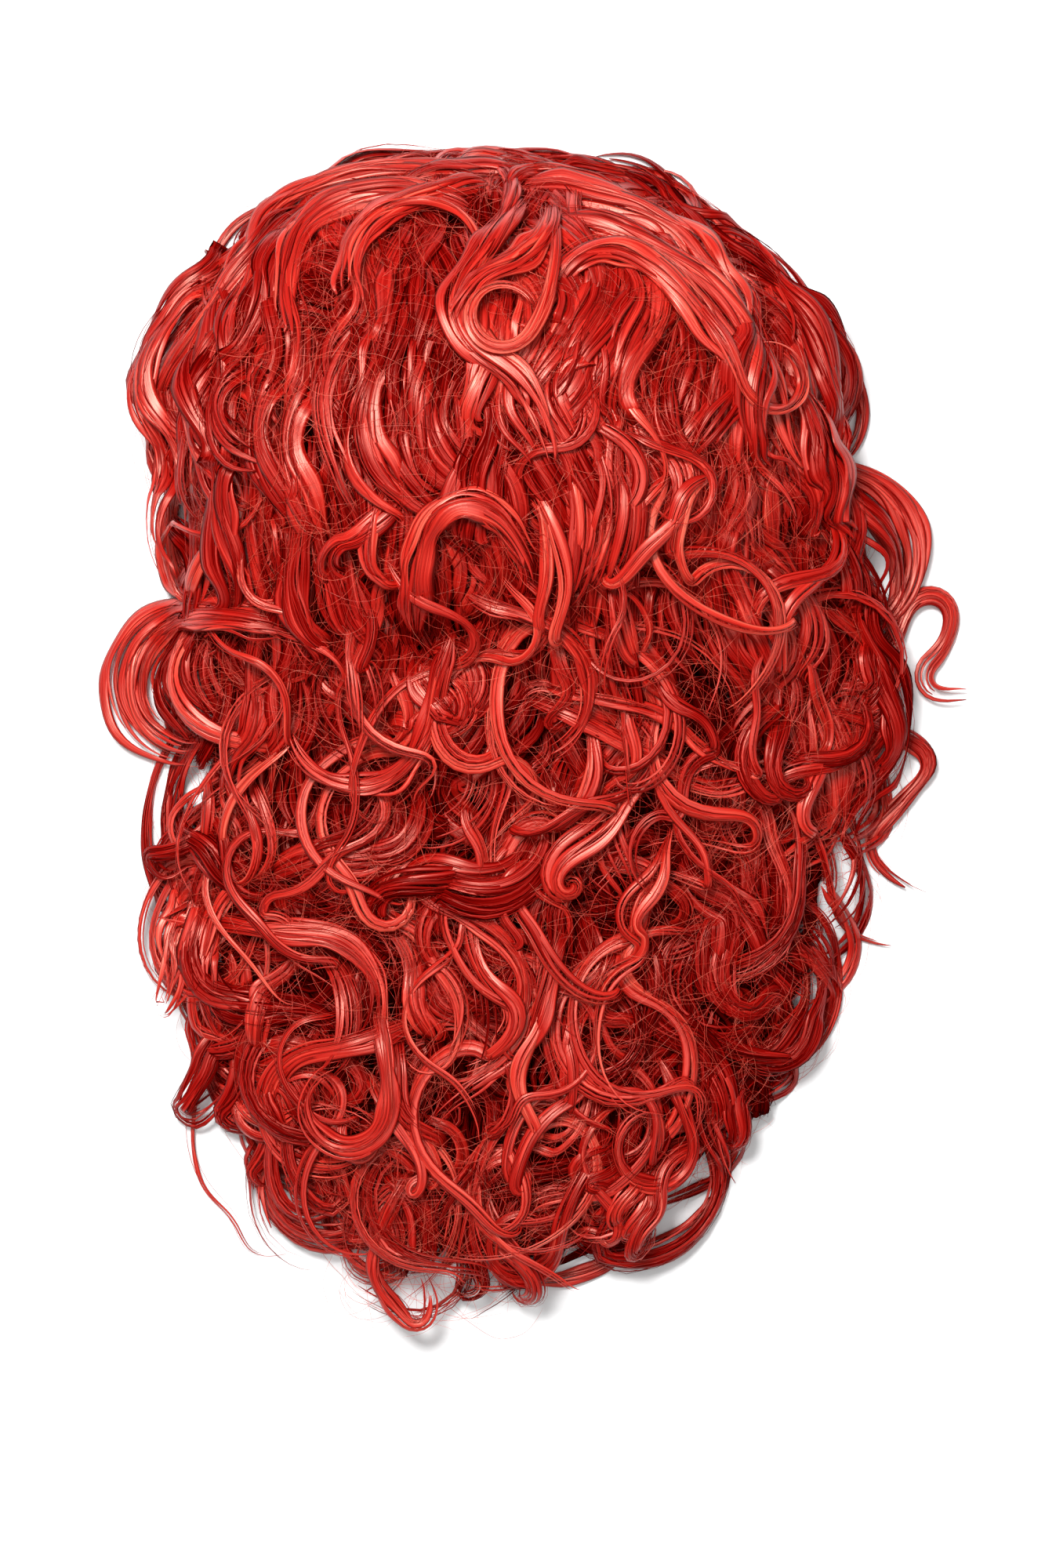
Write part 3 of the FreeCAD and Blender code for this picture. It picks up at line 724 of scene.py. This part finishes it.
# Locks listed one by one. Each has its width in mm, tresses, tone and lift above the rest in mm, then
# where it starts, in mm right of and in front of the middle of the cap, the way that it sets off, in
# degrees anticlockwise from the right, and its bends: a length in mm and the degrees that it turns over
# it.
CROWN_LOCKS = (
    (12, 6, .62, 1, (9, 103), 0, (40, -10), (35, -30), (50, -35), (25, -10)),
    (14, 6, .68, 4, (0, 91), -2, (40, -16), (60, -46), (50, -22)),
    (12, 6, .62, 6, (13, 74), 0, (35, -25), (55, -30), (45, -20), (25, 25)),
    (11, 6, .70, 7, (14, 40), 80, (26, -60), (20, -50), (25, -25), (40, 10), (20, -25)),
    (6, 4, .55, 3, (-33, 92), 75, (17, -50), (15, -60), (14, -60), (17, -20), (18, 45)),
    (5, 3, .60, 4, (-4, 84), 100, (18, -70), (16, -70), (14, -60), (18, 50), (12, 10)),
    (9, 5, .50, 0, (-52, 88), 55, (20, -50), (50, -12), (35, -20)),
    (7, 4, .45, -2, (48, 84), 135, (25, 45), (40, -5), (20, 30)),
    (12, 6, .60, 1, (-14, 91), 150, (30, 25), (35, 20), (25, 30), (25, 40), (25, -20)),
    (12, 6, .64, 4, (-20, 78), 145, (30, 30), (30, 30), (25, 50), (30, 30), (25, -30)),
    (10, 6, .70, 6, (-12, 92), 185, (20, 15), (25, 10), (25, 50), (25, 30)),
    (2, 2, .70, 8, (-63, 67), 70, (90, -210)),
    (11, 6, .68, 7, (2, 84), -125, (40, 5), (18, 30), (16, 50), (15, 5), (20, -30), (24, -20)),
    (8, 5, .72, 9, (14, 81), -85, (20, -45), (18, -25), (18, 30), (22, 25)),
    (3.6, 3, .75, 10, (14, 81), -82, (40, -20), (20, -20), (76, -335)),
    (3.6, 3, .75, 11, (68, 47), -65, (28, 10), (20, -20), (78, 335)),
)
EDGE_LOCKS = (
    (9, 5, .60, 2, (95, 40), 3, (24, -8), (74, -170)),
    (4, 3, .55, 1, (98, 32), 0, (26, -10), (74, -150)),
    (9, 5, .60, 2, (112, -18), -8, (30, -5), (96, -150)),
    (5, 3, .55, 1, (111, -20), -20, (35, -10), (88, -130)),
    (6, 4, .62, 3, (144, -124), 55, (45, 15), (12, -50), (16, -110), (22, -50), (20, 140), (12, 0)),
    (6.5, 5, .58, 2, (128, -126), -8, (46, -22), (14, -100), (30, -5), (16, 85), (22, 28), (10, 0)),
    (2, 2, .55, 1, (118, -168), -50, (24, -25), (20, 0), (20, 55), (20, 20)),
    (2.5, 3, .50, 1, (118, -204), -25, (24, -45), (24, -25), (24, -30), (20, -40), (22, -70)),
    (2, 2, .52, 1, (118, -213), -30, (18, -35), (45, -65), (38, -120)),
    (3, 3, .55, 1, (-74, 84), 150, (27, 30), (85, 150)),
    (8, 5, .62, 3, (-88, 85), 205, (20, 28), (68, 2), (50, 60)),
    (2, 2, .55, 1, (-110, 58), 212, (46, 12), (72, 95)),
    (4, 3, .60, 4, (-118, 35), 222, (22, 20), (66, 90)),
    (6, 4, .60, 2, (-141, -12), 252, (34, 8), (22, 30), (20, 45), (22, 45)),
    (9, 6, .62, 3, (-98, -88), 160, (44, 22), (104, 185)),
    (10, 6, .66, 6, (-94, -94), 162, (44, 20), (84, 190)),
    (2.5, 3, .52, 1, (-136, -127), 210, (24, 35), (104, 80)),
    (2, 2, .50, 1, (-133, -131), 210, (22, 40), (80, 60)),
    (1.5, 2, .50, 1, (-138, -190), 235, (70, 95)),
    (2.5, 3, .45, 1, (-126, -210), 212, (55, 140)),
    (1, 2, .60, 1, (-123, -248), 200, (16, 0), (10, 90), (35, -30), (25, 25), (18, 35), (18, -30),
     (14, 75), (10, 10)),
    (3, 3, .50, 1, (-106, -246), 230, (116, 130)),
    (3, 3, .50, 1, (-78, -304), 235, (100, 145)),
)
LENGTH_LOCKS = (
    (11, 6, .66, 6, (-42, -96), 95, (38, -20), (45, -130), (28, -25)),
    (3, 3, .65, 5, (42, -14), -35, (20, 20), (12, -10), (50, -230)),
    (5, 4, .62, 3, (-46, -320), 240, (36, 12), (16, 50), (20, 10), (8, 110), (12, 40), (18, 30)),
    (5, 4, .60, 4, (37, -306), 228, (40, 25), (12, 10), (78, -330)),
    (5, 4, .60, 4, (58, -270), -58, (38, -15), (98, -340)),
    (2.5, 2, .45, 1, (72, -300), -45, (20, -10), (20, -75), (52, -50)),
    (4, 4, .55, 1, (42, -325), -55, (18, -30), (30, -80), (58, -25)),
    (9, 7, .62, 4, (-40, -254), 205, (48, -15), (104, 240)),
    (7, 5, .66, 7, (-59, -248), -75, (44, -15), (84, -270)),
    (6, 5, .62, 1, (4, -122), -18, (58, -14), (15, -2), (38, 85)),
    (4, 4, .66, 3, (11, -116), -18, (38, 10), (25, -40), (28, 30)),
    (8, 7, .62, 6, (-27, -94), 255, (44, 0), (80, -155)),
    (7, 6, .64, 3, (-22, -78), -40, (20, 30), (20, -20), (64, -125)),
    (8, 6, .62, 2, (-139, -216), 15, (20, -25), (32, 10), (74, -135)),
    (8, 6, .62, 2, (-50, -195), -30, (42, 0), (88, -150)),
    (7, 6, .62, 3, (19, -215), -105, (40, 0), (26, -45), (38, 15)),
)


def bent_path(start, heading, bends):
    """A flat path that turns as its bends say, a point every mm, with each bend eased into the next."""
    turns = np.concatenate([np.full(length, turn / length) for length, turn in bends])
    angle = np.radians(heading + np.cumsum(smoothed(turns, 6)))
    steps = np.column_stack([np.cos(angle), np.sin(angle)])
    return CAP_CENTRE + (np.array(start) + np.cumsum(steps, 0)) * MM


def make_hand_laid_locks():
    """The locks that give the wig its look: sweeps off the crown, rings, and loops at the edge."""
    for width, tresses, tone, lift, start, heading, *bends in CROWN_LOCKS + EDGE_LOCKS + LENGTH_LOCKS:
        path = bent_path(start, heading, bends)
        z = smoothed(np.maximum(hair_top(*path.T), 1.5 * MM) + lift * MM, 15)
        samples = max(24, round(len(path) * 0.4))
        guide, _ = resample(np.column_stack([path, z])[::6], samples)
        guide[:, 2] += 1.2 * MM * wander(1, samples, 1.0)[0] - ROOT_TUCK * tucked(samples)
        lean = 0.35 * wander(1, samples, 1.2)[0]
        face = np.column_stack([np.sin(lean), np.cos(lean * 3) * 0.2, np.cos(lean)])
        swell = 0.85 + 0.25 * wander(1, samples, 1.6)[0]
        # Painted shade: each lock is darker over its first third, towards the root that goes in under the
        # rest.
        painted_shade = np.clip(np.linspace(0.7, 1.6, samples), 0, 1)
        add_lock(on_table(guide, 1.4 * MM), face, width * MM, min(width * 0.16, 1.4) * MM, tone, tresses,
                 4 if width > 3 else 2, swell, painted_shade=painted_shade)


BED_INSET = 17 * MM


def make_painted_shade_bed():
    """Broad dark bands, side by side from the crown to the ends, that close the gaps under the locks: a
    sheet of painted shade where only shade shows, the lower layer darker.
    """
    samples = 26
    for layer, tone, bands in ((0.16, 0.08, 26), (0.34, 0.13, 21)):
        for u in np.linspace(-0.9, 0.9, bands):
            for start, end in ((226, 110), (140, 0), (20, -120), (-95, -222)):
                y = np.linspace(start, end, samples) * MM
                middle, half = width_at(y)
                x = middle + u * (half - BED_INSET)
                x = x + 3.5 * MM * np.sin(y / (11 * MM) + 9 * u + layer * 20)
                floor = np.minimum(hair_floor(x, y), hair_top(x, y) - 2 * MM)
                z = np.maximum(floor + (hair_top(x, y) - floor) * layer, 1.5 * MM)
                guide = np.column_stack([x, y, z])
                face = np.tile((0.2 * u, 0, 1.0), (samples, 1))
                width = max(4 * at_y(RIGHT, y).mean() / bands, 9 * MM) * (1 - 0.4 * abs(u) ** 4)
                add_lock(guide, face, width, 1.2 * MM, tone, tresses=3, loose=0, fray=0)


make_painted_shade_bed()
make_under_layer()
make_upper_waves()
make_lower_curls()
make_long_tresses()
make_hairline()
make_edge_strands()
make_hand_laid_locks()
make_flyaways(2600)
for name, heaps in HEAPS.items():
    for k, heap in enumerate(heaps):
        piece = heap.mesh(f"{name}_locks" + (f"_{k + 1}" if k else ""), HAIR)
        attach(piece, "root")
        if k == 0:
            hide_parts(name)

# ---- The cap ----

NET_MESH = 4.6 * MM
NET_THREAD = 0.22 * MM
NET_HEM = 0.45 * MM
RIB_CLEARANCE = 4.9 * MM
THREAD_RED = ((0.0, (0.02, 0.001, 0.001)), (0.5, (0.12, 0.004, 0.004)), (1.0, (0.30, 0.02, 0.018)))
NET_YARN = hair_material("net_yarn", THREAD_RED, 0.7)


def dome(azimuth, latitude, size=1.003):
    """A place on the cap from two angles in radians: round from the right, and up from the rim."""
    flat = CAP_RADIUS * size * np.cos(latitude)
    return np.stack([CAP_CENTRE[0] + flat * np.cos(azimuth), CAP_CENTRE[1] + flat * np.sin(azimuth),
                     CAP_TOP * size * np.sin(latitude)], -1)


def span_on_dome(name):
    """The angles that a CAD node covers: first and last azimuth, lowest and highest latitude."""
    spots = edges_of(name).reshape(-1, 3)
    x, y = (spots[:, :2] - CAP_CENTRE).T
    middle = math.atan2(y.mean(), x.mean())
    round_it = (np.arctan2(y, x) - middle + math.pi) % (2 * math.pi) - math.pi
    latitude = np.arcsin(np.clip(spots[:, 2] / CAP_TOP, 0, 1))
    return middle + round_it.min(), middle + round_it.max(), latitude.min(), latitude.max()


def make_net(name):
    """An open diamond net, of threads in two directions, with a hem thread round it."""
    first, last, low, high = span_on_dome(name)
    trim = RIB_CLEARANCE / CAP_RADIUS / math.cos(low)

    def on_panel(across, up):
        latitude = low + (high - low) * up
        edge = RIB_CLEARANCE / CAP_RADIUS / np.cos(latitude)
        start, end = first - trim + edge, last + trim - edge
        return dome(start + (end - start) * across, latitude)

    heap, share = Heap(), np.linspace(0, 1, 20)
    wide = round((last - first) * CAP_RADIUS * math.cos((low + high) / 2) / NET_MESH)
    side = dome(first, low + (high - low) * share)
    tall = round(float(np.linalg.norm(np.diff(side, axis=0), axis=1).sum()) / NET_MESH)
    for lean in (1, -1):
        threads = []
        for k in range(-tall, wide + tall):
            start = k / wide
            ups = sorted(np.clip([(edge - start) * wide / (tall * lean) for edge in (0, 1)], 0, 1))
            if ups[1] - ups[0] > 0.04:
                up = ups[0] + (ups[1] - ups[0]) * share
                threads.append(on_panel(np.clip(start + lean * up * tall / wide, 0, 1), up))
        tones = between(0.4, 0.6, (len(threads), 1)) + np.zeros((1, len(share)))
        add_tubes(heap, np.array(threads), NET_THREAD, tones, sides=4, tip=1)
    none, whole = share * 0, share * 0 + 1
    hems = [on_panel(none, share), on_panel(whole, share), on_panel(share, none), on_panel(share, whole)]
    add_tubes(heap, np.array(hems), NET_HEM, np.full((4, len(share)), 0.55), sides=6, tip=1)
    return heap.mesh(f"{name}_threads", NET_YARN)


for name in nodes_called("net_"):
    piece = make_net(name)
    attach(piece, "root")
    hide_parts(name)


class Pattern:
    """Builds one material from sums on places in mm from the middle of the cap, at the table."""

    def __init__(self, name):
        self.material, self.nodes, self.links, self.shader = new_material(name)
        place = self.nodes.new("ShaderNodeTexCoord")
        split = self.nodes.new("ShaderNodeSeparateXYZ")
        self.links.new(place.outputs["Object"], split.inputs[0])
        self.object = place.outputs["Object"]
        away = [self.sum("SUBTRACT", output, float(middle))
                for output, middle in zip(split.outputs, (*CAP_CENTRE, 0))]
        self.x, self.y, self.z = (self.sum("MULTIPLY", output, 1 / MM) for output in away)

    def sum(self, operation, *values, clamp=False):
        node = self.nodes.new("ShaderNodeMath")
        node.operation, node.use_clamp = operation, clamp
        for socket, value in zip(node.inputs, values):
            if isinstance(value, bpy.types.NodeSocket):
                self.links.new(value, socket)
            else:
                socket.default_value = value
        return node.outputs[0]

    def around(self):
        """How far round the rim a place is."""
        return self.sum("MULTIPLY", self.sum("ARCTAN2", self.y, self.x), CAP_RADIUS / MM)

    def latitude(self):
        """Degrees up the dome from the rim."""
        height = self.sum("DIVIDE", self.z, CAP_TOP / MM)
        return self.sum("MULTIPLY", self.sum("ARCSINE", height), 180 / math.pi)

    def across(self, azimuth):
        """How far to one side of the line from the cap's middle that runs at this azimuth."""
        return self.sum("ADD", self.sum("MULTIPLY", self.x, -math.sin(azimuth)),
                        self.sum("MULTIPLY", self.y, math.cos(azimuth)))

    def ribs(self, value, pitch):
        """Even ridges, from 0 in the grooves to 1 on top."""
        return self.sum("MULTIPLY", self.sum("PINGPONG", value, pitch / 2), 2 / pitch)

    def weave(self, first, second, pitch):
        """Threads over and under each other in two directions."""
        over = self.sum("MULTIPLY", self.ribs(first, pitch), self.ribs(second, 2 * pitch))
        gaps = self.sum("SUBTRACT", 1.0, self.ribs(first, 2 * pitch))
        return self.sum("MAXIMUM", over, self.sum("MULTIPLY", self.ribs(second, pitch), gaps))

    def line(self, value, centre, half):
        """1 along a line where the value is centre, with soft sides."""
        away = self.sum("ABSOLUTE", self.sum("SUBTRACT", value, centre))
        return self.sum("SUBTRACT", 1.5, self.sum("DIVIDE", away, half), clamp=True)

    def stitches(self, line, along, pitch=3.2):
        """Breaks a line up into stitches."""
        return self.sum("MULTIPLY", line, self.sum("GREATER_THAN", self.ribs(along, pitch), 0.35))

    def noise(self, scale, detail=2):
        """Noise with about this many patches to a mm."""
        noise = self.nodes.new("ShaderNodeTexNoise")
        noise.inputs["Scale"].default_value = scale / MM
        noise.inputs["Detail"].default_value = detail
        self.links.new(self.object, noise.inputs["Vector"])
        return noise.outputs["Fac"]

    def blend(self, *parts):
        """The sum of pairs of a value and its weight."""
        total = 0.0
        for value, weight in parts:
            total = self.sum("MULTIPLY_ADD", value, weight, total)
        return total

    def finish(self, value, colours, height, depth, roughness, spread):
        """Colour by value, a bump of height times depth in mm, and a roughness that falls by spread as
        the value rises."""
        colour_by(self.nodes, self.links, value, colours, self.shader)
        add_bump(self.nodes, self.links, height, 1, depth, self.shader)
        rough = self.sum("MULTIPLY_ADD", value, -spread, roughness + spread / 2)
        self.links.new(rough, self.shader.inputs["Roughness"])
        return self.material


WINE = ((0.0, (0.05, 0.002, 0.002)), (0.45, (0.20, 0.012, 0.011)), (0.8, (0.34, 0.03, 0.026)),
        (1.0, (0.52, 0.09, 0.075)))
MAROON = ((0.0, (0.03, 0.002, 0.002)), (0.5, (0.13, 0.010, 0.011)), (1.0, (0.30, 0.04, 0.038)))
ROSE = ((0.0, (0.16, 0.03, 0.025)), (0.5, (0.40, 0.11, 0.09)), (1.0, (0.62, 0.24, 0.20)))
IVORY = ((0.0, (0.34, 0.33, 0.30)), (0.5, (0.58, 0.56, 0.52)), (1.0, (0.76, 0.74, 0.70)))
SATIN_WHITE = ((0.0, (0.60, 0.59, 0.55)), (0.5, (0.82, 0.81, 0.78)), (1.0, (0.92, 0.91, 0.89)))
BLACK = ((0.0, (0.012, 0.012, 0.013)), (0.5, (0.035, 0.035, 0.037)), (1.0, (0.09, 0.09, 0.092)))


def box_from_centre(name):
    """A CAD node's lowest and highest corner in mm, from the middle of the cap."""
    return (np.array(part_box(name)) - np.array([*CAP_CENTRE, 0])) / MM


def woven(p, weave, stitches):
    """Finishes a pattern as stitched band cloth."""
    value = p.blend((weave, 0.4), (p.noise(0.25), 0.5), (stitches, 0.45))
    return p.finish(value, WINE, p.blend((weave, 0.5), (stitches, 1.0)), 0.3, 0.8, 0.25)


def band_cloth():
    """Hemmed woven cloth with a row of stitches near each edge."""
    p = Pattern("band_cloth")
    around = p.around()
    weave = p.weave(around, p.z, 0.8)
    rows = p.sum("MAXIMUM", p.line(p.z, 1.9, 0.3), p.line(p.z, RIM[1][2] / MM - 2.1, 0.3))
    return woven(p, weave, p.stitches(rows, around))


def tab_cloth(name):
    """The same cloth on an ear tab, with stitches inside its edge."""
    p = Pattern(f"{name}_cloth")
    low, high = box_from_centre(name)
    past = []
    for place, middle, half in zip((p.x, p.y), (low + high) / 2, (high - low) / 2):
        away = p.sum("ABSOLUTE", p.sum("SUBTRACT", place, float(middle)))
        past.append(p.sum("SUBTRACT", away, float(half)))
    stitches = p.stitches(p.line(p.sum("MAXIMUM", *past), -2.2, 0.3), p.sum("ADD", p.x, p.y))
    return woven(p, p.weave(p.x, p.y, 0.8), stitches)


def rib_elastic(name):
    """Elastic with cords along it and fine ridges across."""
    p = Pattern(f"{name}_elastic")
    x, y, _ = box_from_centre(name).mean(0)
    across = p.across(math.atan2(y, x))
    cords, ridges = p.ribs(across, 1.5), p.ribs(p.latitude(), 0.9)
    value = p.blend((cords, 0.45), (ridges, 0.25), (p.noise(0.3), 0.3))
    return p.finish(value, MAROON, p.blend((cords, 1.0), (ridges, 0.35)), 0.35, 0.65, 0.3)


def strap_elastic():
    """Narrow elastic that runs round the nape, with fine ridges across it."""
    p = Pattern("strap_elastic")
    cords, ridges = p.ribs(p.z, 1.2), p.ribs(p.around(), 1.0)
    value = p.blend((cords, 0.35), (ridges, 0.35), (p.noise(0.3), 0.3))
    return p.finish(value, MAROON, p.blend((cords, 0.6), (ridges, 0.8)), 0.3, 0.62, 0.3)


def weft_tape(name, first, pitch):
    """Tape with hair sewn over it: close loops across, and two rows of stitches along the middle."""
    p = Pattern(f"{name}_tape")
    loops = p.ribs(p.sum("MULTIPLY_ADD", p.noise(0.4), 0.6, p.around()), 0.7)
    row = p.sum("PINGPONG", p.sum("SUBTRACT", p.latitude(), first), pitch / 2)
    stitches = p.stitches(p.line(row, 0.5, 0.22), p.around(), 2.4)
    value = p.blend((loops, 0.6), (p.noise(0.2), 0.3), (stitches, 0.3))
    return p.finish(value, WINE, p.blend((loops, 0.8), (stitches, 0.8)), 0.4, 0.55, 0.3)


def crown_skin():
    """Fine weave with a small knot where each few hairs are tied in."""
    p = Pattern("crown_skin")
    weave = p.weave(p.x, p.y, 0.5)
    knots = p.sum("GREATER_THAN", p.sum("MULTIPLY", p.ribs(p.x, 2.1), p.ribs(p.y, 2.1)), 0.62)
    value = p.blend((weave, 0.45), (p.noise(0.2), 0.5), (knots, -0.35))
    return p.finish(value, WINE, p.blend((weave, 0.4), (knots, 1.0)), 0.3, 0.75, 0.2)


def soft_lining():
    """Brushed mesh, with a fuzzy face and small even holes."""
    p = Pattern("soft_lining")
    mesh = p.weave(p.sum("ADD", p.x, p.y), p.sum("SUBTRACT", p.x, p.y), 1.3)
    fuzz = p.noise(1.5, 4)
    value = p.blend((mesh, 0.6), (fuzz, 0.5))
    return p.finish(value, ROSE, p.blend((mesh, 0.8), (fuzz, 0.5)), 0.3, 0.9, 0.15)


def plastic(name, colours, grain, roughness, depth):
    """Moulded plastic with a fine grain and faint scuffs."""
    p = Pattern(name)
    fine, broad = p.noise(grain, 3), p.noise(0.15)
    return p.finish(p.blend((fine, 0.4), (broad, 0.6)), colours, fine, depth, roughness, 0.3)


def blank_satin():
    """A blank satin label: close threads, and a stitched hem at each end."""
    p = Pattern("blank_satin")
    low, high = box_from_centre("care_label")[:, 0]
    threads = p.ribs(p.x, 0.4)
    hems = p.sum("MAXIMUM", p.line(p.x, float(low + 1.6), 0.25), p.line(p.x, float(high - 1.6), 0.25))
    stitches = p.stitches(hems, p.y, 1.8)
    value = p.blend((threads, 0.3), (p.noise(0.3), 0.6), (stitches, -0.4))
    return p.finish(value, SATIN_WHITE, p.blend((threads, 0.3), (stitches, 1.0)), 0.15, 0.4, 0.2)


def looks_of_cap():
    """The material of each CAD node that stays in view."""
    cloth, strap = band_cloth(), strap_elastic()
    stay = plastic("stay_plastic", IVORY, 0.8, 0.4, 0.05)
    hook = plastic("hook_plastic", BLACK, 2.0, 0.45, 0.08)
    looks = dict.fromkeys(BAND_NODES, cloth)
    for side in ("left", "right"):
        looks[f"strap_sleeve_{side}"] = cloth
        looks[f"ear_tab_{side}"] = tab_cloth(f"ear_tab_{side}")
        looks[f"ear_stay_{side}"] = stay
        looks[f"adjuster_strap_{side}"] = looks[f"loop_tape_{side}"] = strap
        looks[f"adjuster_hook_{side}"] = hook
    looks.update({name: rib_elastic(name) for name in nodes_called("rib_")})
    looks.update(dict.fromkeys(nodes_called("weft_back_"), weft_tape("weft_back", 7.3, 11)))
    looks["wefts_left"] = looks["wefts_right"] = weft_tape("weft_side", 9.3, 16)
    looks["wefts_front"] = weft_tape("weft_front", 6.3, 15)
    looks.update(crown_patch=crown_skin(), crown_lining=soft_lining(), care_label=blank_satin())
    return looks


for name, material in looks_of_cap().items():
    for material_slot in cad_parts[name].material_slots:
        material_slot.material = material

# ---- The stage ----

TABLE_CORNERS = ((-4, -4, 0), (4, -4, 0), (4, 4, 0), (-4, 4, 0))


def make_floor():
    mesh = bpy.data.meshes.new("table")
    mesh.from_pydata(TABLE_CORNERS, [], [(0, 1, 2, 3)])
    material, _, _, shader = new_material("white_table")
    shader.inputs["Base Color"].default_value = (0.93, 0.93, 0.93, 1)
    shader.inputs["Roughness"].default_value = 0.9
    mesh.materials.append(material)
    floor = put_in_scene("table", mesh)


LIT_PLACE = (0, 0.02, 0.03)


def make_light():
    """Even white light all round, a small key light past the hairline and a broad one overhead."""
    world = bpy.data.worlds.new("studio")
    bpy.context.scene.world = world
    world.use_nodes = True
    background = world.node_tree.nodes["Background"].inputs
    background["Color"].default_value = (1, 1, 1, 1)
    background["Strength"].default_value = 0.23
    lights = (("key", (-0.35, 0.62, 1.5), 0.5, 33), ("top", (0.15, -0.15, 1.75), 1.3, 10))
    for name, place, size, power in lights:
        light = bpy.data.lights.new(name, "AREA")
        light.shape, light.size, light.energy = "DISK", size, power
        lamp = put_in_scene(name, light)
        lamp.location = place
        direction = Vector(LIT_PLACE) - Vector(place)
        lamp.rotation_euler = direction.to_track_quat("-Z", "Y").to_euler()


VIEW_DISTANCE = 1.3
VIEW_HEIGHT = 0.660
VIEW_CENTRE = (-6.4 * MM, -18.5 * MM, 20 * MM)
SENSOR = 36


def make_camera():
    """Looks straight down at the hair."""
    camera = bpy.data.cameras.new("above")
    camera.sensor_fit = "VERTICAL"
    camera.sensor_height = SENSOR
    camera.lens = SENSOR * VIEW_DISTANCE / VIEW_HEIGHT
    holder = put_in_scene("above", camera)
    holder.location = (*VIEW_CENTRE[:2], VIEW_DISTANCE + VIEW_CENTRE[2])
    bpy.context.scene.camera = holder


make_floor()
make_light()
make_camera()
bpy.context.scene.view_settings.view_transform = "Standard"
